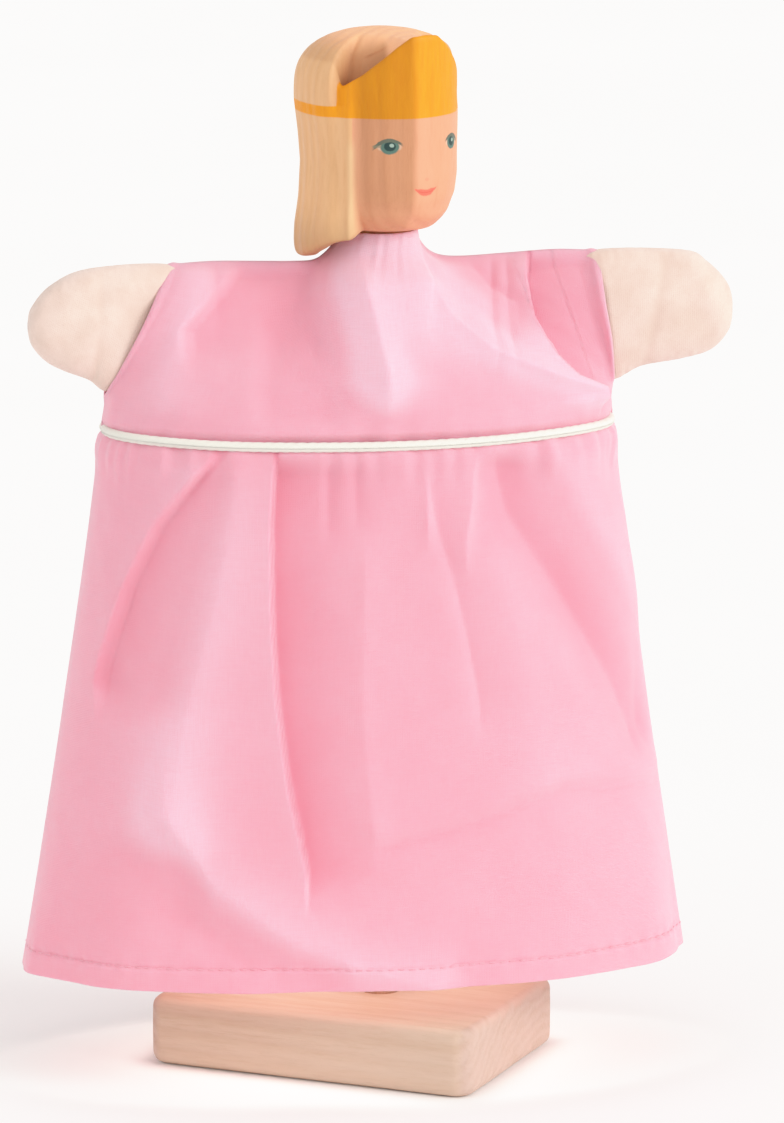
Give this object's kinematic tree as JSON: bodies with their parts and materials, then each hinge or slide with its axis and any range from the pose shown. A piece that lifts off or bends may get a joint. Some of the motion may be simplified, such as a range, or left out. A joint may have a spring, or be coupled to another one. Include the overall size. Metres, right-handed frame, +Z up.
{
  "type": "glove puppet on a stand",
  "caption": "Cloth glove puppet of a princess with a carved wooden head and mitten hands, resting on an upright dowel in a flat wooden block.",
  "frame": {"origin": "on the dowel's axis, in the plane of the block's underside", "axes": "+Z up along the dowel; the dress faces -Y; its hands lie along X, the puppet's left hand at +X. Node names use the viewer's left and right as seen from the front."},
  "size_m": [0.2064, 0.1062, 0.2996],
  "materials": {
    "stand_wood": "sanded, unfinished pale wood",
    "head_wood": "sanded and waxed wood with stained crown and painted face",
    "pink_cotton": "matte plain weave cotton",
    "cream_cotton": "matte plain weave cotton",
    "cord": "matte twisted cotton cord"
  },
  "bodies": {
    "stand": {"stand_base": "stand_wood"},
    "peg": {"stand_peg": "stand_wood"},
    "torso": {"bodice_front": "pink_cotton", "bodice_back": "pink_cotton", "waist_cord": "cord", "skirt_front": "pink_cotton", "skirt_back": "pink_cotton"},
    "neck": {"neck_tie": "cord"},
    "head": {"head": "head_wood"},
    "arm_left": {"hand_left_front": "cream_cotton", "hand_left_back": "cream_cotton"},
    "arm_right": {"hand_right_front": "cream_cotton", "hand_right_back": "cream_cotton"}
  },
  "joints": [
    {"name": "peg_turn", "type": "hinge", "parent": "stand", "child": "peg", "pos_m": [0, 0, 0.02], "axis": [0, 0, 1], "continuous": true},
    {"name": "puppet_lift", "type": "slide", "parent": "peg", "child": "torso", "axis": [0, 0, 1], "range_m": [0, 0.26]},
    {"name": "head_turn", "type": "hinge", "parent": "torso", "child": "neck", "pos_m": [0, 0, 0.2371], "axis": [0, 0, 1], "range_deg": [-67, 13]},
    {"name": "head_nod", "type": "hinge", "parent": "neck", "child": "head", "pos_m": [0, 0, 0.2371], "axis": [0.8988, 0.4384, 0], "range_deg": [-4, 4]},
    {"name": "arm_left_swing", "type": "hinge", "parent": "torso", "child": "arm_left", "pos_m": [-0.06915, 0, 0.21535], "axis": [0.4441, 0, 0.896], "range_deg": [-20, 45]},
    {"name": "arm_right_swing", "type": "hinge", "parent": "torso", "child": "arm_right", "pos_m": [0.0644, 0, 0.2159], "axis": [-0.1168, 0, 0.9932], "range_deg": [-45, 20]}
  ]
}
